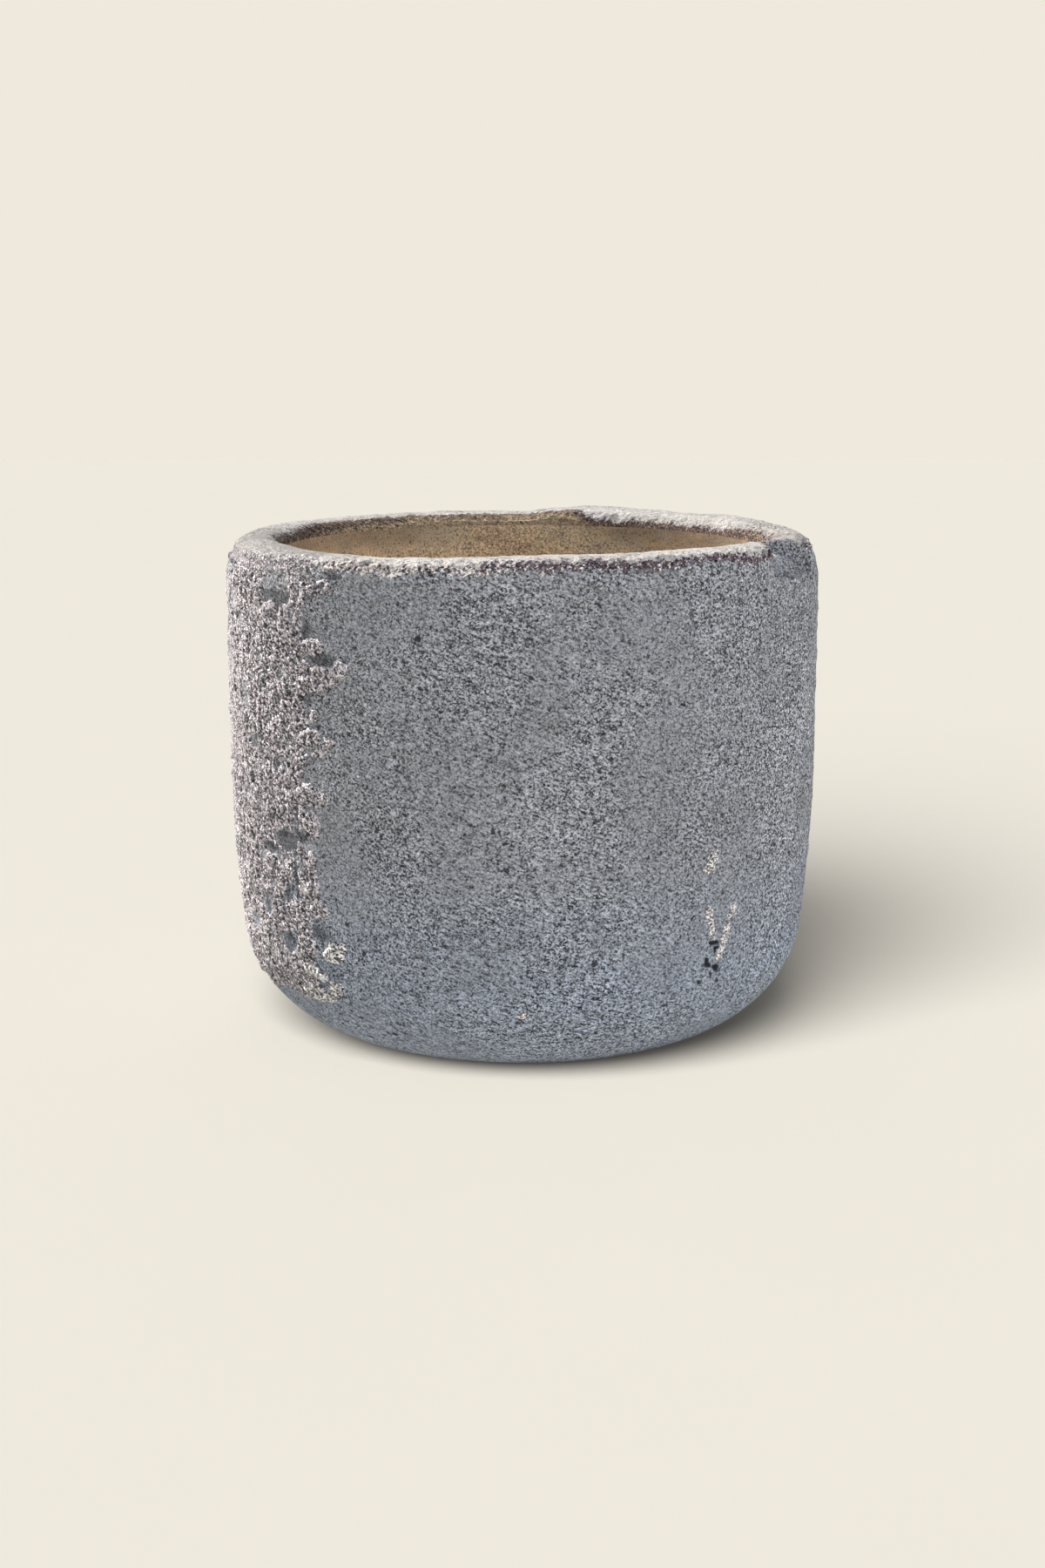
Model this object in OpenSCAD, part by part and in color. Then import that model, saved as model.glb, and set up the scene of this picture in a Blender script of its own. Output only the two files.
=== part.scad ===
// Round concrete planter: a smooth inner shell, a wire cage laid against it, a coarse outer
// coat, a coarse rim over both, and a foot slab with a drain. Millimetres, +Z up.
// The origin is the centre of the foot, on the floor.

/* [Overall] */
// Outside diameter of the pot at its rim
body_d = 560; // [500:10:700]
// Height from the floor to the top of the rim
body_h = 470; // [420:10:620]

/* [Outer curve] */
// Radius of the rounding between the wall and the foot
corner_r = 118; // [114:1:136]
// Height of the centre of that rounding above the floor
corner_h = 114; // [102:1:118]
// Radius of the long bow of the wall above the rounding
belly_r = 1540; // [1100:20:3000]
// Height at which the bowed wall turns upright
belly_h = 267; // [230:1:320]

/* [Layers] */
// Thickness of the coarse coat on the upright wall
coat_t = 28; // [24:1:36]
// Thickness of the smooth inner shell
shell_t = 26; // [20:1:34]
// Radius of the shell's outside corner, between its wall and its floor
shell_bend_r = 90; // [76:1:96]
// Width of the slurry line between two bonded layers
bond_gap = 0.3; // [0.2:0.05:0.5]

/* [Rim] */
// Height of the rim on the outside
rim_h = 40; // [36:1:56]
// Height of the rim on the inside, where it stands on the shell
rim_inner_h = 20; // [19:1:28]
// Rounding of the rim's outer edge
rim_outer_round = 14; // [6:1:20]
// Rounding of the rim's inner edge
rim_inner_round = 18; // [6:1:18]

/* [Worn hollow in the rim] */
// Where the hollow crosses the rim, counted round from +X
hollow_turn = -13; // [-40:1:40]
// Radius of the hollow, seen along it
hollow_r = 130; // [60:5:180]
// Depth of the hollow at the rim's outer face
hollow_outer_depth = 9; // [5:0.5:14]
// Depth of the hollow at the rim's inner face
hollow_inner_depth = 2; // [0.5:0.5:4]

/* [Foot slab] */
// Thickness of the foot slab under the inner shell
slab_t = 26; // [20:1:36]
// How far the slab's ledge stops short of the shell's rounded corner
slab_margin = 7.5; // [4:0.5:14]
// How far the ledge reaches out over the coat's foot
slab_ledge = 14; // [8:1:20]
// Height of the underside of the ledge above the floor
slab_ledge_z = 12; // [9:1:16]
// Number of drainage grooves under the foot; two make one channel from side to side
groove_count = 2; // [2:1:8]
// Width of a drainage groove
groove_w = 14; // [8:1:20]
// Depth of a drainage groove
groove_deep = 5; // [3:0.5:7]

/* [Drain sleeve] */
// Bore of the drain
drain_d = 34; // [20:1:50]
// Wall of the drain sleeve
drain_wall = 3; // [2:0.5:5]
// How far the sleeve's collars stand out from its wall
collar_w = 8; // [5:0.5:14]
// Thickness of the collars
collar_t = 3; // [2:0.5:5]
// Clearance round the sleeve
sleeve_gap = 0.3; // [0.2:0.05:0.5]

/* [Wire cage] */
// Diameter of the cage wire
wire_d = 4; // [3:0.5:6]
// Clearance round the wire in its channel
wire_gap = 0.7; // [0.5:0.05:0.9]
// Gap between two wires where they cross
cross_gap = 0.3; // [0.2:0.05:0.4]
// Number of upright bars
upright_count = 12; // [6:1:16]
// Depth of the bars' upper ends below the top of the rim
upright_cover = 12; // [10:1:16]
// How much wider the bars bend than the shell's rounded corner
upright_ease = 12; // [8:1:18]
// Distance from the drain's axis at which the bars end under the shell's floor
upright_end_r = 80; // [60:5:95]
// Radius of the hoop under the shell's floor
foot_hoop_r = 100; // [98:2:118]
// Height of the lowest wall hoop above the shell's rounded corner
hoop_start = 10; // [6:1:30]
// Depth of the highest wall hoop below the top of the coat
hoop_end = 20; // [8:1:40]

/* [Hidden] */

$fn = 96;
wire_fn = 32;
hollow_fn = 144;
corner_steps = 24;
belly_steps = 8;
wall_hoops = 4;
past = 1; // how far a cutting shape runs past the face that it cuts

coarse_grey = [0.51, 0.52, 0.54];
rim_grey = [0.74, 0.72, 0.70];
inner_tan = [0.55, 0.46, 0.35];
wire_grey = [0.42, 0.43, 0.44];
sleeve_grey = [0.20, 0.21, 0.22];

rim_r = body_d / 2;
coat_in_r = rim_r - coat_t;
shell_r = coat_in_r - bond_gap;
inner_r = shell_r - shell_t;
coat_top = body_h - rim_h;
shell_top = body_h - rim_inner_h;
floor_z = slab_t + shell_t;

// The long bow meets the corner rounding at belly_turn below the horizontal, and the rounding
// meets the floor at foot_turn below it.
belly_turn = asin((belly_h - corner_h) / (belly_r - corner_r));
foot_turn = asin(corner_h / corner_r);
corner_x = rim_r - belly_r + (belly_r - corner_r) * cos(belly_turn);

// Centre of the shell's rounded corner, and the slab that ends inside it
bend_x = shell_r - shell_bend_r;
bend_z = slab_t + shell_bend_r;
ledge_r = bend_x - slab_margin;
slab_r = ledge_r - slab_ledge;

sleeve_r = drain_d / 2 + drain_wall;
collar_r = sleeve_r + collar_w;

// Wires lie on both sides of the shell's outer face: bars just inside it, hoops just outside.
wire_r = wire_d / 2;
wire_seat = wire_r + cross_gap / 2;
upright_top = body_h - upright_cover;
upright_bend_r = shell_bend_r - wire_seat + upright_ease;
hoop_low_z = bend_z + hoop_start;
hoop_high_z = coat_top - hoop_end;
hoop_step = (hoop_high_z - hoop_low_z) / (wall_hoops - 1);

// Half section of a round pot with an upright wall, a flat floor and a rounded corner
module pot_section(r, low, high, corner) {
    translate([0, low]) square([r - corner, high - low]);
    translate([0, low + corner]) square([r, high - low - corner]);
    translate([r - corner, low + corner]) circle(r = corner);
}

// Points of an arc about [x, z], from one angle to another
function arc(x, z, r, from, to, steps) = [
    for (i = [0 : steps]) let (a = from + (to - from) * i / steps) [x + r * cos(a), z + r * sin(a)]
];

// Half section of the pot's outside: flat foot, corner rounding, long bow, upright wall. The
// last point of the rounding is the first one of the bow, so the rounding stops one step short.
module outer_section(top) {
    corner_step = (foot_turn - belly_turn) / corner_steps;
    polygon(concat(
        [[0, 0]],
        arc(corner_x, corner_h, corner_r, -foot_turn, -belly_turn - corner_step, corner_steps - 1),
        arc(rim_r - belly_r, belly_h, belly_r, -belly_turn, 0, belly_steps),
        [[rim_r, top], [0, top]]
    ));
}

// Half section of the foot slab, with its outer radii grown by a clearance
module slab_section(grow) {
    square([slab_r + grow, slab_t]);
    translate([0, slab_ledge_z]) square([ledge_r + grow, slab_t - slab_ledge_z]);
}

// Half section of the rim: two rounded upper edges, and laps over the coat and the shell
module rim_section() {
    hoop_seat = wire_seat + wire_r + wire_gap;
    difference() {
        union() {
            translate([inner_r, coat_top]) square([rim_inner_round, rim_h - rim_inner_round]);
            translate([inner_r + rim_inner_round, body_h - rim_inner_round]) circle(r = rim_inner_round);
            translate([inner_r + rim_inner_round, coat_top])
                square([rim_r - rim_outer_round - inner_r - rim_inner_round, rim_h]);
            translate([rim_r - rim_outer_round, body_h - rim_outer_round]) circle(r = rim_outer_round);
            translate([rim_r - rim_outer_round, coat_top]) square([rim_outer_round, rim_h - rim_outer_round]);
        }
        translate([0, coat_top - past]) square([coat_in_r, shell_top - coat_top + past]);
        translate([0, coat_top - past]) square([shell_r + hoop_seat, hoop_seat + past]);
    }
}

module ring(r, z, wire) {
    translate([0, 0, z]) rotate_extrude() translate([r, 0]) circle(r = wire, $fn = wire_fn);
}

// One upright bar, or its channel: up the wall, round the corner and in under the floor
module upright(wire, top, end_r) {
    wall_x = shell_r - wire_seat;
    floor_run_z = slab_t + wire_seat;
    turn_x = wall_x - upright_bend_r;
    turn_z = floor_run_z + upright_bend_r;
    translate([wall_x, 0, turn_z]) cylinder(r = wire, h = top - turn_z, $fn = wire_fn);
    translate([turn_x, 0, turn_z]) rotate([-90, 0, 0])
        rotate_extrude(angle = 90) translate([upright_bend_r, 0]) circle(r = wire, $fn = wire_fn);
    translate([end_r, 0, floor_run_z]) rotate([0, 90, 0])
        cylinder(r = wire, h = turn_x - end_r, $fn = wire_fn);
}

module upright_channels() {
    for (i = [1 : upright_count]) rotate(i * 360 / upright_count)
        upright(wire_r + wire_gap, upright_top + wire_gap, upright_end_r - wire_gap);
}

// Radial grooves that let water out from under the drain; the first one runs along +X
module drain_grooves() {
    for (i = [1 : groove_count]) rotate((i - 1) * 360 / groove_count)
        translate([0, -groove_w / 2, -past]) cube([rim_r, groove_w, groove_deep + past]);
}

// The worn hollow: a cylinder that lies across the rim and dips towards the outside
module worn_hollow() {
    rim_w = rim_r - inner_r;
    dip = atan((hollow_outer_depth - hollow_inner_depth) / rim_w);
    rotate(hollow_turn) translate([rim_r, 0, body_h - hollow_outer_depth]) rotate([0, dip, 0])
        translate([-2 * rim_w, 0, hollow_r]) rotate([0, 90, 0])
            cylinder(r = hollow_r, h = 3 * rim_w, $fn = hollow_fn);
}

module inner_shell() {
    color(inner_tan) difference() {
        rotate_extrude() difference() {
            pot_section(shell_r, slab_t, shell_top, shell_bend_r);
            pot_section(inner_r, floor_z, shell_top + past, shell_bend_r - shell_t);
        }
        upright_channels();
        translate([0, 0, slab_t - past]) cylinder(r = sleeve_r + sleeve_gap, h = shell_t + 2 * past);
        translate([0, 0, floor_z - collar_t]) cylinder(r = collar_r + sleeve_gap, h = collar_t + past);
        translate([0, 0, slab_t - past])
            cylinder(r = collar_r + sleeve_gap, h = collar_t + sleeve_gap + past);
    }
}

module wall_coat() {
    color(coarse_grey) difference() {
        rotate_extrude() difference() {
            outer_section(coat_top);
            pot_section(coat_in_r, slab_t - bond_gap, coat_top + past, shell_bend_r + bond_gap);
            slab_section(bond_gap);
        }
        for (i = [1 : wall_hoops]) wall_hoop(i, wire_r + wire_gap);
        drain_grooves();
    }
}

module rim_coping() {
    color(rim_grey) difference() {
        rotate_extrude() rim_section();
        upright_channels();
        worn_hollow();
    }
}

module foot_slab() {
    color(coarse_grey) difference() {
        rotate_extrude() slab_section(0);
        translate([0, 0, -past]) cylinder(r = sleeve_r + sleeve_gap, h = slab_t + 2 * past);
        ring(foot_hoop_r, slab_t - wire_seat, wire_r + wire_gap);
        drain_grooves();
    }
}

// A short pipe with one collar flush with the shell's floor and one on top of the slab
module drain_sleeve() {
    color(sleeve_grey) difference() {
        union() {
            translate([0, 0, groove_deep]) cylinder(r = sleeve_r, h = floor_z - groove_deep);
            translate([0, 0, slab_t]) cylinder(r = collar_r, h = collar_t);
            translate([0, 0, floor_z - collar_t]) cylinder(r = collar_r, h = collar_t);
        }
        cylinder(r = drain_d / 2, h = floor_z + past);
    }
}

// Wall hoop number i, or its channel, counted from the lowest
module wall_hoop(i, wire) {
    ring(shell_r + wire_seat, hoop_low_z + (i - 1) * hoop_step, wire);
}

module lower_hoop() {
    color(wire_grey) wall_hoop(1, wire_r);
}

module waist_hoop() {
    color(wire_grey) wall_hoop(2, wire_r);
}

module upper_hoop() {
    color(wire_grey) wall_hoop(3, wire_r);
}

module shoulder_hoop() {
    color(wire_grey) wall_hoop(4, wire_r);
}

module rim_hoop() {
    color(wire_grey) ring(shell_r + wire_seat, coat_top + wire_seat, wire_r);
}

module foot_hoop() {
    color(wire_grey) ring(foot_hoop_r, slab_t - wire_seat, wire_r);
}

module upright_bar(i) {
    color(wire_grey) rotate(i * 360 / upright_count) upright(wire_r, upright_top, upright_end_r);
}

inner_shell();
wall_coat();
rim_coping();
foot_slab();
drain_sleeve();
rim_hoop();
shoulder_hoop();
upper_hoop();
waist_hoop();
lower_hoop();
foot_hoop();
for (i = [1 : upright_count]) upright_bar(i);
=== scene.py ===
import math

import bmesh
import bpy
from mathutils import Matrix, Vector, noise


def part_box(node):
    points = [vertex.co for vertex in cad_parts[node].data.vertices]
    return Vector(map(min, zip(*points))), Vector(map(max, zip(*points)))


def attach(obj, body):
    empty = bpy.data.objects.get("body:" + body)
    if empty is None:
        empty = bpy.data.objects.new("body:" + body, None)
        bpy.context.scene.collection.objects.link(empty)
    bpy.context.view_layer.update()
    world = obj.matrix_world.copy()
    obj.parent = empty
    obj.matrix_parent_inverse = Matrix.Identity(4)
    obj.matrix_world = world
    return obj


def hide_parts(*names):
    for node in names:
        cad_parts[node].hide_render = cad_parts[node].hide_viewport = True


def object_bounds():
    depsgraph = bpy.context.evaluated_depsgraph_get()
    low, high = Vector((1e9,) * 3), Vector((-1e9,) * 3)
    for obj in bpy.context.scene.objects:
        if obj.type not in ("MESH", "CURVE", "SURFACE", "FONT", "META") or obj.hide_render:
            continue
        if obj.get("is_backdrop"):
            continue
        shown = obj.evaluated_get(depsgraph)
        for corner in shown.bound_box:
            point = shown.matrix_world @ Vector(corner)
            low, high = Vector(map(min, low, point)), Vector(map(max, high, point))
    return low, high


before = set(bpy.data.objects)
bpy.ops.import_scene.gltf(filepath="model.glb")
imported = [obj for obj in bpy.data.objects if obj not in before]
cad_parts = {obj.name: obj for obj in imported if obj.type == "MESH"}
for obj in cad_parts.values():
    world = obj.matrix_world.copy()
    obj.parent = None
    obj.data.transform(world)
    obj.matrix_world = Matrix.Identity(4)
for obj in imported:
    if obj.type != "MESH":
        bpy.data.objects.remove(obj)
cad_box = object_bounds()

# The inner shell is the smooth lining of the pot, cast first round a core and rubbed with a wet
# sponge while it was green. It is a tan cement render with fine pores, a little darker and
# damper where water stands on the floor, and it is open in the middle for the drain.


def even(first, last, steps):
    """Values from first to last in equal steps, without the first one."""
    return [first + (last - first) * k / steps for k in range(1, steps + 1)]


def round_the_bend(middle, r, first, last, steps):
    """Stations on an arc in half section, from one angle below the horizontal to another."""
    return [
        (middle[0] + r * math.cos(math.radians(a)), middle[1] - r * math.sin(math.radians(a)))
        for a in even(first, last, steps)
    ]


def hold(piece):
    """Makes one piece the only selected one, and the active one."""
    bpy.ops.object.select_all(action="DESELECT")
    piece.select_set(True)
    bpy.context.view_layer.objects.active = piece


def work(piece, kind, **settings):
    """Adds one modifier to a piece and applies it."""
    hold(piece)
    step = piece.modifiers.new(kind.lower(), kind)
    for name, value in settings.items():
        setattr(step, name, value)
    bpy.ops.object.modifier_apply(modifier=step.name)


def drawn_up(name, sides, stations, levels):
    """A round skin drawn from one ring, station by station, as (radius, height), then smoothed.
    Smoothing pulls a ring of few sides inwards, so the rings start that much wider."""
    wider = 3 / (2 + math.cos(2 * math.pi / sides))
    (r, z), later = stations[0], stations[1:]
    bpy.ops.object.select_all(action="DESELECT")
    bpy.ops.mesh.primitive_circle_add(vertices=sides, radius=r * wider, location=(0, 0, z))
    piece = bpy.context.object
    piece.name = piece.data.name = name
    bpy.ops.object.mode_set(mode="EDIT")
    bpy.ops.mesh.select_all(action="SELECT")
    for next_r, next_z in later:
        bpy.ops.mesh.extrude_edges_move(TRANSFORM_OT_translate={"value": (0, 0, next_z - z)})
        bpy.ops.transform.resize(value=(next_r / r, next_r / r, 1))
        r, z = next_r, next_z
    bpy.ops.mesh.select_all(action="SELECT")
    bpy.ops.mesh.normals_make_consistent(inside=False)
    bpy.ops.object.mode_set(mode="OBJECT")
    bpy.ops.object.transform_apply(location=True, rotation=True, scale=True)
    work(piece, "SUBSURF", levels=levels, render_levels=levels)
    return piece


def face_towards(piece, wanted):
    """Turns the skin round if its faces look away from the way that wanted() gives for each."""
    looks = sum(f.normal.dot(wanted(f.center)) for f in piece.data.polygons)
    if looks < 0:
        hold(piece)
        bpy.ops.object.mode_set(mode="EDIT")
        bpy.ops.mesh.select_all(action="SELECT")
        bpy.ops.mesh.flip_normals()
        bpy.ops.object.mode_set(mode="OBJECT")


def close_behind(piece, starts, stations):
    """Gives a skin its hidden side: the open ring that starts() picks is marked sharp and drawn
    through the stations, then bridged to the skin's other open ring."""
    hold(piece)
    bpy.ops.object.mode_set(mode="EDIT")
    bpy.ops.mesh.select_mode(type="EDGE")

    def pick(rule):
        bpy.ops.mesh.select_all(action="DESELECT")
        skin = bmesh.from_edit_mesh(piece.data)
        for edge in skin.edges:
            if edge.is_boundary and rule((edge.verts[0].co + edge.verts[1].co) / 2):
                edge.select_set(True)
        bmesh.update_edit_mesh(piece.data)

    pick(lambda middle: True)
    bpy.ops.mesh.mark_sharp()
    pick(starts)
    ring = [v.co for v in bmesh.from_edit_mesh(piece.data).verts if v.select]
    r = sum(co.xy.length for co in ring) / len(ring)
    z = sum(co.z for co in ring) / len(ring)
    for next_r, next_z in stations:
        bpy.ops.mesh.extrude_edges_move(TRANSFORM_OT_translate={"value": (0, 0, next_z - z)})
        bpy.ops.transform.resize(value=(next_r / r, next_r / r, 1))
        r, z = next_r, next_z
    pick(lambda middle: True)
    bpy.ops.mesh.bridge_edge_loops()
    bpy.ops.mesh.select_all(action="SELECT")
    bpy.ops.mesh.normals_make_consistent(inside=False)
    bpy.ops.object.mode_set(mode="OBJECT")
    bpy.ops.object.shade_smooth()


def share(value, none, full):
    """0 at none, 1 at full, eased between them."""
    t = min(max((value - none) / (full - none), 0), 1)
    return t * t * (3 - 2 * t)


def weigh(piece, name, rule):
    """A vertex group whose weight at each point is what rule() gives for it, where that isn't
    next to nothing."""
    group = piece.vertex_groups.new(name=name)
    for v in piece.data.vertices:
        weight = rule(v.co)
        if weight > 0.001:
            group.add([v.index], min(weight, 1), "REPLACE")


def grit(kind, size, **settings):
    """A relief pattern: clouds, cells or crackle of a size in metres."""
    pattern = bpy.data.textures.new(kind.lower(), kind)
    pattern.noise_scale = size
    for name, value in settings.items():
        setattr(pattern, name, value)
    return pattern


def roughen(piece, group, height, pattern, middle=0.5, along="NORMAL", stretch=None):
    """Lifts a piece's skin by a pattern, where the group has weight. A stretch draws the
    pattern out along X, Y and Z."""
    settings = {"vertex_group": group, "strength": height, "mid_level": middle, "texture": pattern}
    if stretch:
        bpy.ops.object.empty_add(location=(0, 0, 0))
        guide = bpy.context.object
        guide.scale = stretch
        bpy.context.view_layer.update()
        settings.update(texture_coords="OBJECT", texture_coords_object=guide)
    work(piece, "DISPLACE", direction=along, **settings)
    if stretch:
        bpy.data.objects.remove(guide)


def paint(r, g, b):
    """A colour given as it looks on a screen, 0 to 255, as the shader wants it."""
    return tuple(((c / 255 + 0.055) / 1.055) ** 2.4 for c in (r, g, b)) + (1,)


class Level:
    """A socket of a node tree. Arithmetic on it adds the Math nodes."""

    def __init__(self, nodes, socket):
        self.nodes, self.socket = nodes, socket

    def maths(self, operation, a, b):
        return self.nodes.add("Math", {"operation": operation}, {0: a, 1: b})

    def __add__(self, other):
        return self.maths("ADD", self, other)

    __radd__ = __add__

    def __sub__(self, other):
        return self.maths("SUBTRACT", self, other)

    def __rsub__(self, other):
        return self.maths("SUBTRACT", other, self)

    def __mul__(self, other):
        return self.maths("MULTIPLY", self, other)

    __rmul__ = __mul__

    def __pow__(self, other):
        return self.maths("POWER", self, other)

    def at_least(self, other):
        return self.maths("MAXIMUM", self, other)

    def size(self):
        return self.maths("ABSOLUTE", self, 0)

    def between(self, none, full):
        """0 up to none, 1 from full on, eased between them."""
        sockets = {"Value": self, "From Min": none, "From Max": full}
        return self.nodes.add("MapRange", {"interpolation_type": "SMOOTHSTEP"}, sockets)


class Nodes:
    """A node tree in the making: add() places one node and gives back one of its sockets."""

    def __init__(self, tree):
        self.tree = tree

    def add(self, kind, settings=None, sockets=None, out=0):
        node = self.tree.nodes.new("ShaderNode" + kind)
        for name, value in (settings or {}).items():
            setattr(node, name, value)
        self.feed(node, sockets or {})
        return Level(self, node.outputs[out])

    def feed(self, node, sockets):
        for name, value in sockets.items():
            if isinstance(value, Level):
                self.tree.links.new(value.socket, node.inputs[name])
            else:
                node.inputs[name].default_value = value

    def blend(self, how_much, a, b, kind="MIX"):
        settings = {"data_type": "RGBA", "blend_type": kind}
        return self.add("Mix", settings, {0: how_much, 6: a, 7: b}, 2)


class Finish(Nodes):
    """A material. Its patterns are read at the spot's place on the object."""

    def __init__(self, name, roughness, gloss):
        self.material = bpy.data.materials.new(name)
        self.material.use_nodes = True
        super().__init__(self.material.node_tree)
        self.shader = self.tree.nodes["Principled BSDF"]
        self.feed(self.shader, {"Roughness": roughness, "Specular IOR Level": gloss})
        self.spot = self.add("TexCoord", out="Object")

    def places(self):
        """X, the radius from the pot's axis and the height of the spot."""
        x, y, z = (self.add("SeparateXYZ", None, {0: self.spot}, out) for out in "XYZ")
        return x, (x * x + y * y) ** 0.5, z

    def drawn_out(self, *squeeze):
        """The spot with each axis squeezed, so that a pattern read from it is drawn out."""
        return self.add("VectorMath", {"operation": "MULTIPLY"}, {0: self.spot, 1: squeeze})

    def cloud(self, per_metre, detail=2.0, crisp=0.5, spot=None, wander=0.0):
        """Cloud pattern round 0, about -0.5 to 0.5."""
        sockets = {"Vector": spot or self.spot, "Scale": per_metre, "Detail": detail}
        sockets.update({"Roughness": crisp, "Distortion": wander})
        return self.add("TexNoise", None, sockets) - 0.5

    def grains(self, per_metre, out="Distance", spot=None):
        """Packed grains: how far the spot is from its grain's middle, or the grain's colour."""
        return self.add("TexVoronoi", None, {"Vector": spot or self.spot, "Scale": per_metre}, out)

    def one_of(self, colour, part="Red"):
        """One random number for each grain, from its random colour."""
        return self.add("SeparateColor", None, {0: colour}, part)

    def done(self, colour, relief, depth):
        """Feeds the colour and the fine relief, whose depth is in metres."""
        bump = self.add("Bump", None, {"Height": relief, "Distance": depth})
        self.feed(self.shader, {"Base Color": colour, "Normal": bump})
        return self.material


def dress(piece, material):
    """Gives a piece that material alone."""
    piece.data.materials.clear()
    piece.data.materials.append(material)


def reach(node):
    """A solid's radius, foot and top, to a tenth of a millimetre."""
    low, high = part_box(node)
    return round(high[0], 4), round(low[2], 4), round(high[2], 4)


shell_r, shell_foot, shell_top = reach("inner_shell")
shell_wall, cast_gap = 0.026, 0.0002
lining_r, lining_floor = shell_r - shell_wall, shell_foot + shell_wall
lining_top, lining_bend = shell_top - 0.0005, 0.064
bend_middle = (lining_r - lining_bend, lining_floor + lining_bend)

# The hidden side lies against the coat and the slab, and is cut out for the drain's two collars.
drain_seat_r, pipe_seat_r = reach("drain_sleeve")[0] + 0.0006, 0.0204
lower_collar_top, upper_collar_foot = 0.0293, 0.0488
back_r, back_foot = shell_r - cast_gap, shell_foot + cast_gap
back = [
    (back_r, lining_top), (back_r, bend_middle[1]), (0.24, 0.072), (0.2, 0.036), (0.16, back_foot),
    (0.06, back_foot), (drain_seat_r, back_foot), (drain_seat_r, lower_collar_top),
    (pipe_seat_r, lower_collar_top), (pipe_seat_r, upper_collar_foot),
    (drain_seat_r, upper_collar_foot),
]

stations = [(lining_r, lining_top)]
stations += [(lining_r, z) for z in even(lining_top, bend_middle[1], 12)]
stations += round_the_bend(bend_middle, lining_bend, 0, 90, 6)
stations += [(r, lining_floor) for r in even(bend_middle[0], drain_seat_r, 6)]
lining = drawn_up("lining", 64, stations, 2)
face_towards(lining, lambda middle: Vector((-middle.x, -middle.y, 0.1)))
weigh(lining, "skin", lambda co: share(co.xy.length, drain_seat_r, 0.045)
      * share(co.z, lining_top, 0.44))
roughen(lining, "skin", 0.004, grit("CLOUDS", 0.13))
roughen(lining, "skin", 0.0014, grit("CLOUDS", 0.035, noise_depth=1), stretch=(1, 1, 0.4))
close_behind(lining, lambda middle: middle.z > 0.3, back)

warm_tan, cool_tan, trowel_tan = paint(177, 155, 126), paint(171, 157, 134), paint(188, 161, 118)
under_rim_brown = paint(92, 76, 66)
smooth = Finish("smooth tan render", 0.85, 0.25)
x, _, height = smooth.places()
wash, trowel = smooth.cloud(9, 3), smooth.cloud(34, 3, 0.55, smooth.drawn_out(1, 1, 2.4))
streaks = smooth.cloud(26, 3, spot=smooth.drawn_out(1, 1, 0.3))
dust = smooth.cloud(480, 4, 0.75)
pores = smooth.cloud(300, 1, 0.4, wander=0.6).between(0.17, 0.21)
damp = 1 - height.between(0.052, 0.16)
# The tone falls from left to right across the lining: painted light, lighter on the left and
# darker on the right.
tone = 1 - 0.5 * x + 0.25 * wash + 0.7 * trowel + 0.2 * streaks + 5.5 * dust
tone = tone.at_least(0.3) * (1 - 0.45 * pores) * (1 - 0.22 * damp)
tan = smooth.blend(wash.between(-0.12, 0.16), warm_tan, cool_tan)
tan = smooth.blend(trowel.between(0.04, 0.2) * 0.5, tan, trowel_tan)
tan = smooth.blend(1.0, tan, tone, "MULTIPLY")
under_rim = (height + 0.08 * dust).between(0.428, 0.450) * x.size().between(0.02, 0.14)
tan = smooth.blend(under_rim * dust.between(-0.02, 0.06) * 0.8, tan, under_rim_brown)
dress(lining, smooth.done(tan, dust + 0.6 * trowel - 0.8 * pores, 0.0007))
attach(lining, "root")
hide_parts("inner_shell")

# The wire cage is tied round the lining: twelve upright bars bent in under the floor, four
# hoops on the wall, one under the rim and one under the floor. It is dull zinc-coated wire,
# and the outer coat and the rim bury it.

zinc = Finish("dull zinc wire", 0.55, 0.5)
spangle = zinc.one_of(zinc.grains(260, "Color"))
bloom = zinc.cloud(90, 3)
dull_zinc, light_zinc = paint(150, 153, 156), paint(176, 179, 181)
white_bloom = paint(200, 201, 198)
zinc_colour = zinc.blend(spangle, dull_zinc, light_zinc)
zinc_colour = zinc.blend(bloom.between(0.02, 0.2) * 0.6, zinc_colour, white_bloom)
zinc.feed(zinc.shader, {"Metallic": 0.85})
zinc_metal = zinc.done(zinc_colour, bloom + 0.2 * spangle, 0.0002)
for name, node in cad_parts.items():
    if name.endswith("_hoop") or name.startswith("upright_bar_"):
        dress(node, zinc_metal)

# The drain sleeve is a short length of dark grey plastic pipe with two collars, cast into the
# floor. Its saw-cut and handled surface is matt, with a film of cement dust.

sleeve = Finish("matt grey plastic pipe", 0.6, 0.4)
film = sleeve.cloud(70, 4, 0.6)
scuffs = sleeve.cloud(420, 2, spot=sleeve.drawn_out(1, 1, 0.2))
pipe_grey, cement_dust = paint(62, 64, 66), paint(128, 124, 116)
sleeve_colour = sleeve.blend(film.between(-0.02, 0.22) * 0.6, pipe_grey, cement_dust)
sleeve_colour = sleeve.blend(1.0, sleeve_colour, 1 + 0.5 * scuffs, "MULTIPLY")
dress(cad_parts["drain_sleeve"], sleeve.done(sleeve_colour, film + 0.4 * scuffs, 0.0003))

# The foot slab is the disc of coarse concrete that the pot stands on. It is the same hand-mixed
# concrete as the outer coat: grey cement, coarse sand, small pits painted dark as the shade in
# them, and pale worn places.

# The bluer grey towards the foot is painted cool skylight.
wall_grey, painted_skylight_blue = paint(144, 146, 151), paint(139, 148, 162)
worn_pale, chalk, painted_pit_shade = paint(184, 177, 180), paint(208, 206, 204), paint(44, 44, 52)


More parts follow.
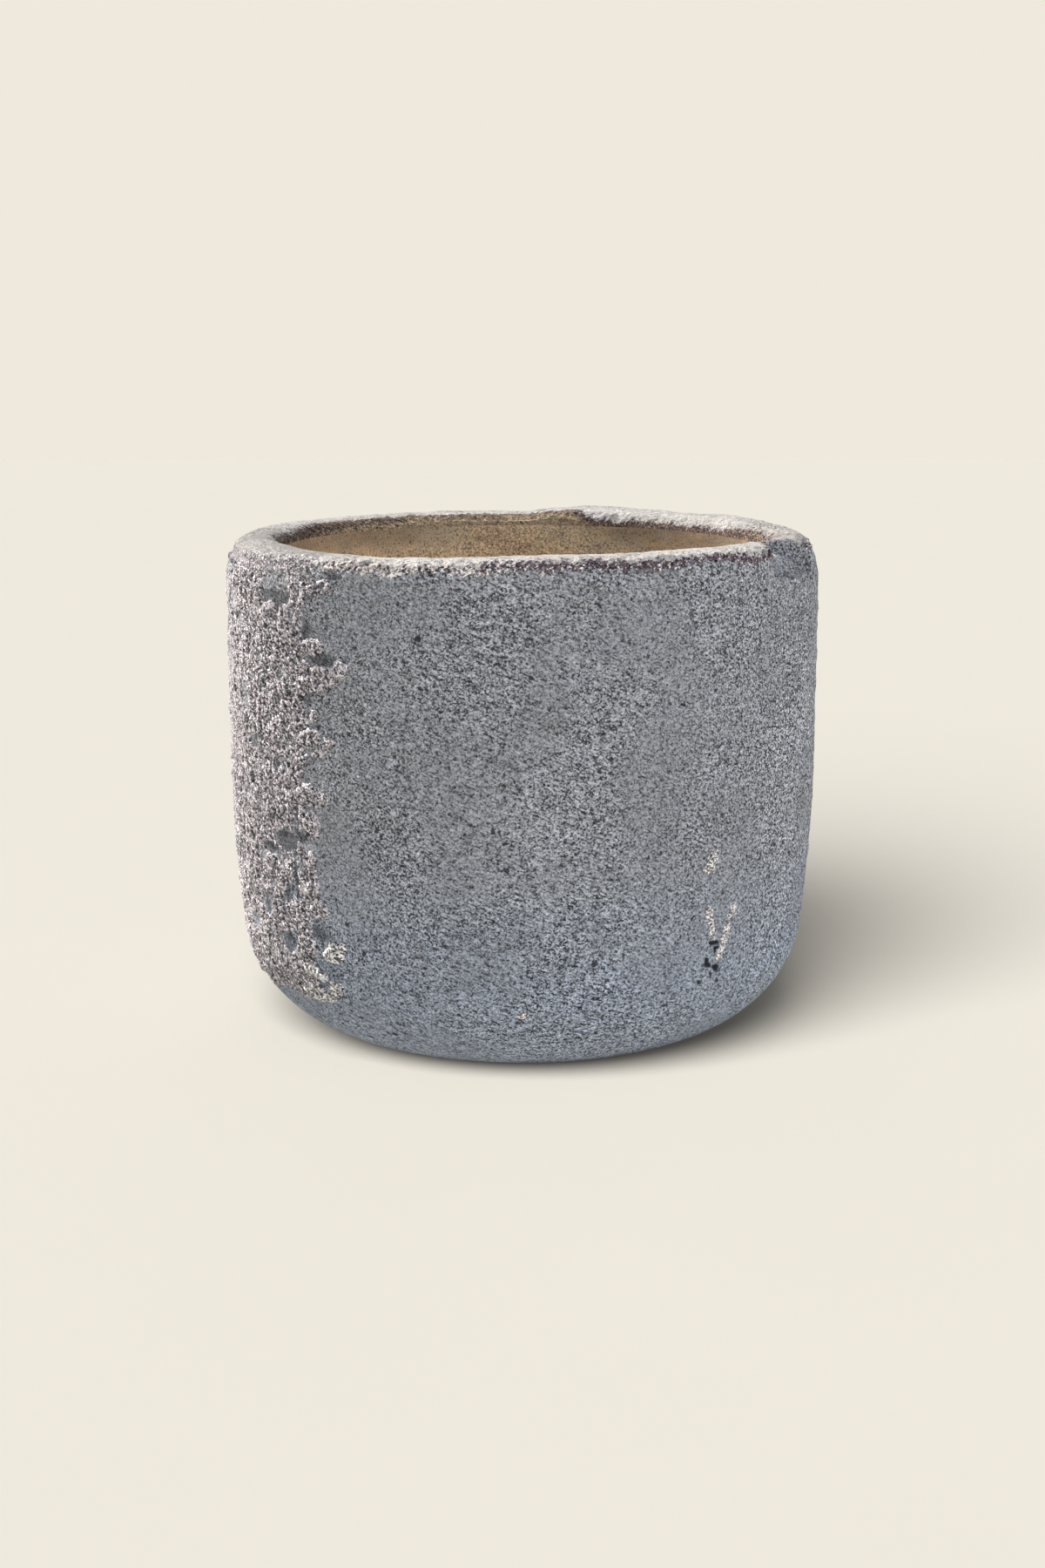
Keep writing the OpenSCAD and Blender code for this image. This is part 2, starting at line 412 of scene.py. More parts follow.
class Concrete(Finish):
    """The coarse concrete. The piece's attribute "pale" says where it is paler, from 0 to 1, and
    up to 2 where it is scuffed white; that is wear, and low on the worn crust it is painted
    sunlight as well. Below 0 it is darker: painted shade in dents and in the sunk smooth skin
    within the crust, down to a gouge painted dark as its shade. Where it is worn, "edge" counts
    too: how far a spot stands out from those around it, in mm."""

    def __init__(self, name, depth=0.0014):
        super().__init__(name, 0.93, 0.15)
        self.depth = depth
        self.x, self.radius, self.height = self.places()
        self.pale = self.marked("pale")
        self.worn = self.pale.between(0.2, 0.45)
        self.gouge = (0 - self.pale).between(0.72, 1.0)
        self.stands_out = self.marked("edge").between(-0.30, 0.30)

        self.mottle = self.cloud(42, 3, 0.55)
        self.dabs = self.cloud(95, 3, 0.6, self.drawn_out(1, 1, 2.6), 0.4)
        self.grain, self.fine = self.cloud(270, 4, 0.8), self.cloud(520, 4, 0.9)
        self.sand = self.one_of(self.grains(760, "Color")) - 0.5
        self.right = self.x.between(0.17, 0.25)
        self.strokes = self.floated()
        self.crease = self.creased()

        clusters = self.cloud(14, 2).between(-0.06, 0.12)
        broken = self.stirred(260, 0.006)
        pits = self.scattered(210, 0.20 + 0.35 * clusters, 0.32, broken)
        holes = self.scattered(80, 0.02 + 0.17 * clusters, 0.26, broken)
        self.specks = self.scattered(230, 0.09, 0.34, broken)
        self.dark = (pits * 0.85).at_least(holes * 0.9)
        self.tone, self.grey = self.sandy(), self.weathered()

    def marked(self, attribute):
        """What the piece's own attribute of that name says at the spot."""
        return self.add("Attribute", {"attribute_name": attribute}, out="Fac")

    def raked(self, slant, length):
        """The spot for a pattern drawn out into strokes, which fall to the right by the slant."""
        turned = {"Rotation": (0, math.radians(slant), 0), "Scale": (length, 1, 0.9)}
        return self.add("Mapping", {"vector_type": "TEXTURE"}, {0: self.spot, **turned})

    def stirred(self, per_metre, far):
        """The spot pushed about, so that round things read from it come out broken."""
        push = self.add("TexNoise", None, {"Vector": self.spot, "Scale": per_metre}, "Color")
        push = self.add("VectorMath", {"operation": "SUBTRACT"}, {0: push, 1: (0.5, 0.5, 0.5)})
        push = self.add("VectorMath", {"operation": "SCALE"}, {0: push, "Scale": far})
        return self.add("VectorMath", {"operation": "ADD"}, {0: self.spot, 1: push})

    def scattered(self, per_metre, how_many, size, spot=None):
        """1 in scattered spots up to a size, where how_many of the grains hold one."""
        middle, colour = self.grains(per_metre, spot=spot), self.grains(per_metre, "Color", spot)
        chosen = self.one_of(colour).between(1 - how_many, 1.01 - how_many)
        edge = size * (0.45 + 0.55 * self.one_of(colour, "Green"))
        return chosen * (1 - (middle - edge).between(-0.07, 0.03))

    def floated(self):
        """The float's strokes, which run round the pot: across its front and along its right."""
        across = self.cloud(480, 2, 0.6, self.raked(22, 4.0))
        along = self.cloud(480, 2, 0.6, self.drawn_out(1, 0.25, 1))
        return across + self.right * (along - across)

    def creased(self):
        """1 on fine wandering creases, in some places only."""
        line = 1 - self.cloud(17, 3, 0.6, self.drawn_out(1, 1, 2.6)).size().between(0.002, 0.012)
        return line * self.cloud(23, 1).between(0.05, 0.12)

    def sandy(self):
        """How light each spot is. Where it is worn, the raised sand is painted lighter and the
        recesses between darker, as light and shade on the relief. Creases and dents are painted
        darker, as their shade.
        """
        broad = 0.3 * self.cloud(7, 2) + 0.35 * self.mottle + 0.35 * self.dabs
        sandy = 0.7 * self.grain + 3.0 * self.strokes + 3.0 * self.fine + 1.8 * self.sand
        coarser = (0.72 + 0.5 * self.cloud(11, 2).between(-0.12, 0.12)) * (1 + 0.8 * self.right)
        tone = 1.06 + broad - 0.3 * self.crease + 0.35 * self.specks + coarser * sandy
        bare = 1.1 * self.stands_out - 0.68 + 1.2 * self.sand
        return tone * (1 + self.worn * bare) * (1 - 0.7 * (0 - self.pale).between(0.1, 0.5))

    def weathered(self):
        """Grey, bluer towards the foot, where the blue is painted cool skylight, pale where it is
        worn and white where it is scuffed.
        """
        grey = self.blend(1 - self.height.between(0.0, 0.26), wall_grey, painted_skylight_blue)
        ragged = self.pale + 0.9 * self.mottle + 1.3 * self.grain
        grey = self.blend(ragged.between(0.36, 0.6) * 0.85, grey, worn_pale)
        return self.blend((self.pale + self.grain).between(1.05, 1.3), grey, chalk)

    def mixed(self):
        """The material, with its pits and its fine relief."""
        colour = self.blend(1.0, self.grey, self.tone.at_least(0.16), "MULTIPLY")
        # Pits, holes and gouges are painted dark, as the shade in them.
        colour = self.blend(self.dark.at_least(self.gouge), colour, painted_pit_shade)
        relief = 0.9 * self.grain + 0.6 * self.fine + 0.5 * self.strokes + 0.8 * self.dabs
        relief = relief - 0.5 * self.dark - 0.3 * self.crease + 0.15 * self.specks
        return self.done(colour, relief, self.depth)


dress(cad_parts["foot_slab"], Concrete("coarse foot concrete").mixed())

# The wall coat is the thick outer layer of coarse concrete, pressed on over the cage by hand and
# dabbed with a float, so its upright wall is uneven and bows in to a rounded foot. On the right it
# has been knocked: white scuffs, a few gouges painted dark as their shade, and two soft upright
# ridges.

# The skin is drawn a little inside its solid, so that its relief keeps within the solid's box.
outer_r, coat_foot, joint_z = reach("wall_coat")
wall_r = outer_r - 0.0026
bow_r, bow_z, foot_round = 1.540, 0.267, 0.1166
foot_middle, bow_end, foot_end = (0.1537, 0.114), 6.18, 75.0

# Each mark is (turn in degrees, height, half width, half height, lift, tint), in mm. A lift below
# zero is a dent. A tint of 2 is scuffed white; a tint below zero is painted shade in a dent, and
# -2 is a gouge painted dark as its shade.
mark_r = 280
marks = [
    (31.2, 415, 2.5, 9, -1.2, -0.35), (31.8, 407, 4, 3, -1.0, -0.35),
    (36.4, 192, 6.5, 6, 0.8, 1.7), (37.4, 199, 4, 8, 0.8, 1.8), (36.8, 152, 3.2, 7, 0.6, 1.6),
    (37.6, 141, 3.2, 8, 0.6, 1.7), (38.4, 131, 3, 6, 0.6, 1.6), (43.4, 150, 3.4, 6, 0.6, 1.5),
    (42.4, 139, 3.4, 8, 0.6, 1.6), (41.8, 128, 4, 8, 0.8, 1.6), (41.2, 118, 3, 9, 0.6, 1.6),
    (40.2, 109, 4.6, 5, 0.8, 1.7), (39.6, 113, 2.6, 5, -2.2, -2.0),
    (38.4, 122, 5, 2.6, -1.6, -1.8), (39.9, 98, 4, 3.4, -2.2, -2.0),
    (37.6, 104, 2, 4, -1.2, -1.6), (38.8, 92, 2, 2, -1, -1.3), (36.2, 86, 2, 2, -1, -1.3),
    (40.8, 84, 2, 2.4, -1, -1.3), (0, 68.6, 5, 3, 0.6, 1.1), (16.7, 372, 16, 1.6, -1.0, 0),
    (-3.6, 272.7, 11, 1.6, -1.0, 0), (9.0, 273.5, 13, 1.6, 0.9, 0), (27.7, 344, 9, 6, -1.4, 0),
    (10.1, 443, 14, 4, -1.2, 0), (-21.7, 291, 7, 9, -1.2, 0), (24.0, 402, 20, 2, -1.0, 0),
    (22.0, 424, 16, 1.8, -0.9, 0), (13.0, 352, 15, 1.6, 0.8, 0), (30.5, 380, 3, 40, 0.9, 0),
    (62.0, 330, 5, 90, 1.0, 0), (58.5, 330, 4, 80, -0.9, 0), (66.5, 300, 5, 90, -0.8, 0),
]
# The worn crust's own forms, in the same way. A lift below zero leaves the smooth skin bare.
crusts = [
    (-37.5, 453, 15, 6, -3), (-43.6, 454.5, 8, 3, -3), (-43.0, 449, 6, 3, 2.0),
    (-40.5, 446.5, 6, 3, 2.2), (-37.8, 444.8, 6, 3, 2.2), (-34.6, 449, 4, 4, 1.8),
    (-51.0, 431, 22, 17, -4), (-57.0, 421, 7, 7, 2.0), (-52.6, 414, 9, 5, 2.4),
    (-48.1, 412, 8, 6, 2.4), (-45.2, 436, 4, 6, 1.8), (-43.0, 430, 4, 8, 2.0),
    (-41.0, 435, 5, 4, 1.8), (-39.0, 433, 5, 3, 1.6), (-37.0, 437, 4, 3, 1.6),
    (-35.0, 433, 3, 3, 1.4), (-42.2, 396, 6, 12, -3), (-42.4, 340, 6, 4, -3),
    (-40.4, 385.6, 14, 7, 3.0), (-38.3, 374.8, 16, 6, -4), (-43.2, 368, 7, 5, 2.8),
    (-38.3, 364, 14, 6, 3.0), (-34.1, 369, 8, 7, 3.8), (-40.8, 353, 17, 8, 2.2),
    (-37.0, 357, 10, 4, 2.2), (-40.7, 325, 5, 6, 2.6), (-43.0, 322, 5, 7, 1.8),
    (-41.8, 305, 13, 9, 2.2), (-36.8, 305, 6, 4, 2.8), (-38.3, 299, 6, 4, 2.8),
    (-39.8, 292, 6, 4, 2.6), (-30.4, 276, 3, 2.5, 1.8), (-42.8, 254, 14, 10, 2.4),
    (-39.6, 250, 10, 7, 2.4), (-45.8, 229, 3, 14, -4), (-41.8, 228, 10, 14, 2.0),
    (-49.5, 208, 16, 9, -4), (-55.0, 197, 10, 6, -3.5), (-44.5, 214, 6, 5, -3),
    (-42.4, 178, 8, 28, 2.0), (-46.9, 178, 3, 24, -4), (-41.4, 128, 12, 7, -3),
    (-38.0, 112, 13, 10, 2.8), (-36.0, 119, 5, 4, 2.4), (-41.0, 150, 12, 10, 1.8),
    (-44.2, 91, 10, 5, 3.0), (-41.5, 87, 6, 4, 2.8), (-45.0, 70, 18, 7, 2.0),
    (-41.5, 66, 8, 5, 2.2), (-39.0, 78, 10, 7, 2.0), (-51.0, 112, 10, 10, -3),
    (-58.0, 140, 8, 9, -3), (-75.5, 82, 5, 8, -3), (-72.0, 430, 5, 20, -3),
    (-66.5, 395, 8, 9, -3), (-64.0, 330, 6, 12, -2.6), (-60.0, 290, 8, 5, -2.6),
    (-52.0, 275, 6, 7, -3), (-70.0, 262, 5, 10, -2.6), (-50.0, 160, 4, 10, -3),
    (-66.0, 118, 8, 5, -3),
]
highest_lump = 5.0


def by_height(forms):
    """The marks or forms that reach into each 10 mm of height."""
    bands = {}
    for form in forms:
        z, reach_up = form[1], 1.3 * form[3] + 5
        for band in range(int(z - reach_up) // 10, int(z + reach_up) // 10 + 1):
            bands.setdefault(band, []).append(form)
    return bands


def turn_of(co):
    """Degrees round the pot from its front, to the right as seen from the front."""
    return math.degrees(math.atan2(co.x, -co.y))


def forms_at(co, bands):
    """The forms near a point, each with its share there. Their outlines are ragged."""
    other_place = Vector((7, 3, 5))
    turn = turn_of(co) + 0.5 * noise.noise(co * 130) + 0.4 * noise.noise(co * 300)
    z = co.z * 1000 + 2.6 * noise.noise(co * 130 + other_place) + noise.noise(co * 300)
    for form in bands.get(int(z) // 10, ()):
        form_turn, form_z, half_width, half_height = form[:4]
        across = math.radians(turn - form_turn) * mark_r / half_width
        near = share(math.hypot(across, (z - form_z) / half_height), 1.2, 0.75)
        if near > 0:
            yield near, form


def stands(piece, name, sign, lifts):
    """Lifts or sinks a piece's skin by the lifts, in mm, that have that sign."""
    group = piece.vertex_groups.new(name=name)
    for index, lift in enumerate(lifts):
        if lift * sign > 0:
            group.add([index], min(lift * sign / highest_lump, 1), "REPLACE")
    work(piece, "DISPLACE", vertex_group=name, strength=sign * highest_lump / 1000, mid_level=0)


rim_middle_r = 0.25


def hand_worked(piece):
    """The relief that the outer skins share: swells, dabs and sand."""

    def skin(co):
        """Fades out at the foot, on the crest, and where the rim meets the lining."""
        off_crest = 1 - 0.8 * share(co.z, 0.455, 0.465)
        off_lining = 1 if co.xy.length > rim_middle_r else share(co.z, 0.4505, 0.458)
        return share(co.z, 0.005, 0.03) * off_crest * off_lining

    weigh(piece, "skin", skin)
    roughen(piece, "skin", 0.0024, grit("CLOUDS", 0.11))
    roughen(piece, "skin", 0.0020, grit("CLOUDS", 0.026, noise_depth=1), stretch=(1, 1, 0.45))
    roughen(piece, "skin", 0.0012, grit("CLOUDS", 0.010, noise_depth=2))


def knocked(piece):
    """The marks on the coat and the rim, and the attribute that tints them. The smooth skin that
    is left in the crust is sunk, and painted a little darker as its shade."""
    tint = piece.data.attributes.new("pale", "FLOAT", "POINT")
    left = [
        (turn, z, across * 1.15, up * 1.15, 0, -0.38)
        for turn, z, across, up, lift in crusts if lift < 0
    ]
    lifts, bands = [], by_height(marks + left)
    for v in piece.data.vertices:
        found = list(forms_at(v.co, bands))
        lifts.append(sum(near * lift for near, (*place, lift, dye) in found))
        tint.data[v.index].value = sum(near * dye for near, (*place, lift, dye) in found)
    stands(piece, "raised", 1, lifts)
    stands(piece, "sunk", -1, lifts)


worn_back_end = (-110, -102)


def weathered(co):
    """1 on the weathered left, 0 behind its ragged back end."""
    return share(turn_of(co) + 16 * noise.noise(co * 22), *worn_back_end)


def bow(z):
    """The wall's radius at a height: upright above bow_z, on the long bow below it."""
    return wall_r - bow_r + math.sqrt(bow_r ** 2 - max(bow_z - z, 0) ** 2)


foot_starts = foot_middle[1] - 0.0126
stations = [(wall_r, joint_z)]
stations += [(bow(z), z) for z in even(joint_z, foot_starts, 14)]
stations += round_the_bend(foot_middle, foot_round, bow_end, foot_end, 6)
stations += [(0.178, coat_foot + 0.0003), (0.177, coat_foot + 0.0002)]
coat = drawn_up("coat", 64, stations, 3)
face_towards(coat, lambda middle: Vector((middle.x, middle.y, -0.05)))
hand_worked(coat)
knocked(coat)

# Behind the thin back end of the worn crust the coat is worn pale too.
for v in coat.data.vertices:
    under_crust = share(turn_of(v.co), -56, -70) * weathered(v.co) * share(v.co.z, 0.052, 0.064)
    coat.data.attributes["pale"].data[v.index].value += 0.6 * under_crust

# The hidden side goes round the lining and steps down round the foot slab and its ledge.
slab_r, slab_foot, slab_top = reach("foot_slab")
coat_in_r, slab_seat_r, slab_seat_z = shell_r + 0.0006, slab_r + 0.0004, slab_top - cast_gap
ledge_r, ledge_z = slab_seat_r - 0.014, 0.0117
close_behind(coat, lambda middle: middle.z > 0.3, [
    (coat_in_r, joint_z), (coat_in_r, 0.116), (0.241, 0.071), (0.205, 0.036), (0.162, slab_seat_z),
    (slab_seat_r, slab_seat_z), (slab_seat_r, ledge_z), (ledge_r, ledge_z),
    (ledge_r, slab_foot + cast_gap),
])
dress(coat, Concrete("coarse wall concrete").mixed())

# Water runs out under the foot by a shallow channel from side to side.
channel_long, channel_wide, channel_deep = 0.6, 0.014, 0.005
bpy.ops.object.select_all(action="DESELECT")
bpy.ops.mesh.primitive_cube_add(size=1, scale=(channel_long, channel_wide, 2 * channel_deep))
channel = bpy.context.object
work(coat, "BOOLEAN", operation="DIFFERENCE", object=channel, solver="MANIFOLD")
bpy.data.objects.remove(channel)
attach(coat, "root")
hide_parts("wall_coat")

# The worn crust is the coat's left front, where the smooth skin has weathered off and the coarse
# sand stands bare and pale; low down it is painted paler still, as sunlight on it. It is a shell
# of the same concrete, let into the coat. Its edge and its hollows dive under the smooth skin, so
# that it ends in a ragged, flaky line.

crust_turns, crust_depth = (-119, -27), 0.006
# Where the bare part begins and is full: by turn from the front, and in mm from foot and top.
bare_front, bare_foot, bare_top = (-42.5, -44), (50, 60), (448.5, 442.0)
crest_z = reach("rim_coping")[2] - 0.0004
# From the middle of the rim's crest down to the wall, as steps in from the wall and down.
shoulder = [(wall_r - inwards, crest_z - down) for inwards, down in (
    (0.0150, 0), (0.0058, 0.0006), (0.0018, 0.0045), (0.0004, 0.0105), (0, 0.0190), (0, 0.0320))]
stations = [(wall_r - 0.0120, crest_z - 0.0200)] + shoulder[4:]
stations += [(bow(z), z) for z in even(shoulder[-1][1], foot_starts, 13)]
stations += round_the_bend(foot_middle, foot_round, bow_end, 52, 4)
crust = drawn_up("worn_crust", 64, stations, 2)
face_towards(crust, lambda middle: Vector((middle.x, middle.y, -0.05)))


def pick_faces(piece, rule):
    """Goes into edit mode with just those faces selected that the rule picks."""
    hold(piece)
    bpy.ops.object.mode_set(mode="EDIT")
    bpy.ops.mesh.select_mode(type="FACE")
    bpy.ops.mesh.select_all(action="DESELECT")
    skin = bmesh.from_edit_mesh(piece.data)
    for face in skin.faces:
        face.select_set(rule(face))
    bmesh.update_edit_mesh(piece.data)


# How high the crest lies at each turn, in mm: the right is fuller than the left.
crest_heights = [
    (-180, 462.3), (-160, 463.1), (-138, 462.8), (-107, 463.6), (-85, 464.2), (-65, 465.5),
    (-50, 464.4), (-30, 464.2), (-18, 465.6), (-9, 467.4), (0, 469.0), (9, 469.6), (29, 469.6),
    (40, 469.6), (56, 469.3), (75, 466.4), (98, 465.2), (107, 464.9), (115, 466.4),
    (126, 467.6), (138, 465.4), (150, 466.8), (160, 468.2), (166, 468.1), (172, 465.2),
    (180, 462.3),
]


def crest_at(turn):
    """The crest's height at a turn, in mm."""
    for (before, low), (after, high) in zip(crest_heights, crest_heights[1:]):
        if turn <= after:
            return low + (high - low) * share(turn, before, after)


def settle(piece):
    """Rounds the shoulder at the sides, and lets the top down to the crest's heights."""
    sides_in = 0.0062
    weigh(piece, "sides", lambda co: share(abs(turn_of(co)), 45, 78) * share(co.z, 0.428, 0.462)
          * share(co.xy.length, 0.255, 0.272))
    work(piece, "DISPLACE", vertex_group="sides", strength=-sides_in, mid_level=0)
    deepest = crest_z - min(high for turn, high in crest_heights) / 1000

    def down(co):
        """How far a point comes down, against the most that any does."""
        crest_down = (crest_z - crest_at(turn_of(co)) / 1000) / deepest
        inner_edge = 1 if co.xy.length > rim_middle_r else share(co.z, 0.4505, 0.464)
        return crest_down * share(co.z, 0.436, 0.462) * inner_edge

    weigh(piece, "settle", down)
    work(piece, "DISPLACE", vertex_group="settle", strength=-deepest, mid_level=0, direction="Z")


def bare(co):
    """How much of the crust shows at a point, and how far its lumps stand out there, in mm. Away
    from the bare part and the lumps it lies under the coat, and so does all of its edge."""
    turn, z = turn_of(co), co.z * 1000
    back_end, front_end = crust_turns[0] + 2, crust_turns[1] - 2
    ragged_turn = turn + 1.2 * noise.noise(co * 60) + 0.9 * noise.noise(co * 150)
    whole = share(ragged_turn, *bare_front) * weathered(co)
    whole *= share(turn, back_end, back_end + 5)
    whole *= share(z + 9 * noise.noise(co * 45), *bare_foot)
    lump = 0
    for near, (*place, lift) in forms_at(co, crust_bands):
        if lift > 0:
            whole, lump = max(whole, near), max(lump, near * lift)
        else:
            whole = min(whole, 1 - near)
    whole *= share(turn, back_end, back_end + 3) * share(turn, front_end, front_end - 3)
    whole *= share(z + 3 * noise.noise(co * 90), *bare_top) * share(z, 30, 36)
    at_widest = share(abs(turn + 88), 20, 7)
    whole *= 1 - 0.45 * at_widest
    return whole, lump * whole


def stand_out(piece):
    """The attribute "edge": how far each point stands out from the points round it, in mm."""
    skin = bmesh.new()
    skin.from_mesh(piece.data)
    skin.normal_update()
    out = piece.data.attributes.new("edge", "FLOAT", "POINT").data
    for v in skin.verts:
        beside = [edge.other_vert(v).co for edge in v.link_edges]
        around = sum(beside, Vector()) / len(beside)
        out[v.index].value = (v.co - around).dot(v.normal) * 1000
    skin.free()


def on_left(face):
    """Whether a face is between the crust's two ends."""
    return crust_turns[0] < turn_of(face.calc_center_median()) < crust_turns[1]


def faces_out(face):
    """Whether a face looks away from the pot's axis."""
    away = face.calc_center_median()
    away.z = 0
    return face.normal.dot(away.normalized()) > 0.5


pick_faces(crust, lambda face: not on_left(face))
bpy.ops.mesh.delete(type="FACE")
bpy.ops.object.mode_set(mode="OBJECT")
work(crust, "SOLIDIFY", thickness=crust_depth, offset=-1)
pick_faces(crust, faces_out)
bpy.ops.mesh.subdivide(number_cuts=3)
bpy.ops.object.mode_set(mode="OBJECT")
hand_worked(crust)
crust_bands = by_height(crusts)
shows = [bare(v.co) for v in crust.data.vertices]
group = crust.vertex_groups.new(name="bare")
tint = crust.data.attributes.new("pale", "FLOAT", "POINT")
for v, (whole, lump) in zip(crust.data.vertices, shows):
    group.add([v.index], whole, "REPLACE")
    # Low down the crust is painted paler still: painted sunlight, which the key lamp doesn't give
    # there.
    painted_sun_low = 0.4 * share(v.co.z, 0.19, 0.11)
    tint.data[v.index].value = 0.25 + whole * (0.4 + painted_sun_low) + 0.1 * lump
# The whole crust sinks under the coat, and then the parts of it that show come up again.
sunk, raised = 0.0022, 0.0034
work(crust, "DISPLACE", strength=-sunk, mid_level=0)
stands(crust, "raised", 1, [lump * 0.65 for whole, lump in shows])
settle(crust)
work(crust, "DISPLACE", vertex_group="bare", strength=raised, mid_level=0)
roughen(crust, "bare", 0.0040, grit("CLOUDS", 0.016, noise_depth=1))
roughen(crust, "bare", 0.0040, grit("CLOUDS", 0.006), stretch=(1, 1, 2.0))
roughen(crust, "bare", -0.0010, grit("VORONOI", 0.0050))
roughen(crust, "bare", 0.0034, grit("CLOUDS", 0.0032))
stand_out(crust)
hold(crust)
bpy.ops.object.shade_smooth()
dress(crust, Concrete("worn coarse concrete", depth=0.0042).mixed())
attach(crust, "root")
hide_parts("wall_coat")

# The rim is the last layer: a thick roll of the coarse concrete pressed down over the coat and the
# lining, rounded by hand on both edges. Its crest is pale and granular, partly from wear and
# partly painted sunlight, it rises and falls a little, and on the right a worn hollow dips towards
# the outside.

# The crest's two tones are both paler than the wall, partly from wear and partly as painted
# sunlight; they differ at random.
crest_pale, crest_shade = paint(160, 157, 154), paint(149, 146, 142)
# The rim's front edge is painted: plum as its shade, and near white on its flakes as sunlight
# caught on them.
edge_plum_shade, edge_flake_highlight = paint(96, 84, 91), paint(216, 207, 203)
inner_tan, inner_shade_brown = paint(140, 124, 102), paint(76, 62, 62)
# The levels between which one tone goes over into the next.
into_plum, into_crest, out_of_tan = (0.4575, 0.4590), (0.4645, 0.4665), (0.4605, 0.4650)
into_brown, out_of_brown = (0.4480, 0.4520), (0.4635, 0.4675)


class RimConcrete(Concrete):
    """The rim's concrete. The attribute "level" is how high a spot lies towards the crest, which
    is paler, partly worn and partly painted sunlight, with flakes painted sunlit over painted plum
    shade at its front edge, and tan with brown painted shade, broken into grit, at its inner edge.
    Another attribute is painted light on the crest, more where it tilts to the front, and "plain"
    is 1 in the hollow, which is painted darker as its shade."""

    def __init__(self, name):
        super().__init__(name)
        ticks = self.cloud(360, 2, 0.7, self.raked(-36, 3.0))
        level = self.marked("level") + 0.012 * self.mottle + 0.020 * self.grain + 0.020 * ticks
        in_hollow = self.marked("plain")
        sound = 1 - in_hollow.between(0.3, 0.7)
        inside = 1 - (self.radius + 0.012 * ticks).between(0.2380, 0.2410)
        top, tan = level.between(*into_crest) * sound, inside * (1 - level.between(*out_of_tan))

        flake = ticks + 0.6 * self.grain + 0.22 * self.stands_out
        flake = flake - 0.05 - 0.21 * self.x.between(-0.10, 0.08)
        plum = self.blend(flake.between(-0.02, 0.015), edge_plum_shade, edge_flake_highlight)
        shoulder = level.between(*into_plum) * sound * (1 - self.worn)
        crest = self.blend(self.mottle.between(-0.15, 0.15), crest_shade, crest_pale)
        middle_up = 0.008 * self.x.between(-0.15, -0.10) * (1 - self.x.between(0.05, 0.12))
        # The brown band at the inner edge is painted shade, broken up into grit specks.
        brown = (level - middle_up).between(*into_brown) * (1 - level.between(*out_of_brown))
        grit = (self.grain + self.fine).between(-0.12, 0.0) * 0.9
        grey = self.blend(shoulder, self.grey, plum)
        grey = self.blend(tan, self.blend(top, grey, crest), inner_tan)
        self.grey = self.blend(inside * brown * grit, grey, inner_shade_brown)

        calm = (top + tan * 0.4).between(0, 1)
        tone = self.tone + calm * (0.66 - 0.66 * self.tone)
        # The hollow is painted darker, as its shade.
        tone = tone * (1 - 0.27 * in_hollow) * (1 - 0.38 * self.worn * (1 - top))
        # Painted light on the crest, lighter where it tilts to the front.
        self.tone = tone * (1 + top * self.marked("painted_crest_light"))
        self.dark = self.dark * (1 - 0.45 * top)
        self.gouge = self.gouge * sound


stations = [(wall_r, joint_z)] + shoulder[::-1] + [
    (0.2515, crest_z), (0.2410, crest_z - 0.0006), (0.2332, crest_z - 0.0034),
    (0.2280, crest_z - 0.0095), (lining_r + 0.0002, lining_top),
]


def out_of_roll(middle):
    """Roughly the way out of the roll: up, and away from the middle of its crest."""
    away = Vector((middle.x, middle.y, 0)) * (middle.xy.length - rim_middle_r)
    return 40 * away + Vector((0, 0, 1))


rim = drawn_up("rim", 128, stations, 3)
face_towards(rim, out_of_roll)
hand_worked(rim)
knocked(rim)

# In the hollow the rim slopes down from its inner edge to the outside. Its far end is a sharp
# step that faces the front, and its near end thins the crest out to a point.
hollow_turns, hollow_deep = (60.0, 65.0), 0.021
crest_in_r, crest_wide = 0.2345, 0.0425


def hollow(co):
    """How deep the worn hollow is at a point, in metres. It widens from the rim's inner edge,
    where across is 0, to its outer edge, where it is 1."""
    turn = turn_of(co) + 0.7 * noise.noise(co * 110)
    across = (co.xy.length - crest_in_r) / crest_wide
    if not 48 < turn < 78 or across <= -0.3:
        return 0
    near = hollow_turns[0] - 7 * across
    far = hollow_turns[1] + 9 * across
    ends = share(turn, near - 1.5, near + 2.5) * share(turn, far + 0.5, far - 1.0)
    slope = 0.3 * share(across, -0.3, 0.0) + 0.7 * min(max(across, 0), 1) ** 0.8
    return hollow_deep * slope * ends * share(co.z, 0.431, 0.467)


weigh(rim, "crest", lambda co: share(co.z, 0.457, 0.467))
weigh(rim, "grit", lambda co: share(co.z, 0.452, 0.459) * share(co.xy.length, 0.262, 0.270)
      * (0.3 + 0.7 * share(noise.noise(co * 38), -0.15, 0.2))
      * (1 - 0.7 * share(turn_of(co), -25, -40)))
weigh(rim, "grit_inside", lambda co: share(co.z, 0.452, 0.457) * share(co.z, 0.468, 0.464)
      * share(co.xy.length, 0.240, 0.236))
depths = [hollow(v.co) for v in rim.data.vertices]
# Adding an attribute moves the others' data, so all of it is fetched after the last is added.
for name in ("level", "plain"):
    rim.data.attributes.new(name, "FLOAT", "POINT")
tint, level, plain = (rim.data.attributes[name].data for name in ("pale", "level", "plain"))
group = rim.vertex_groups.new(name="hollow")
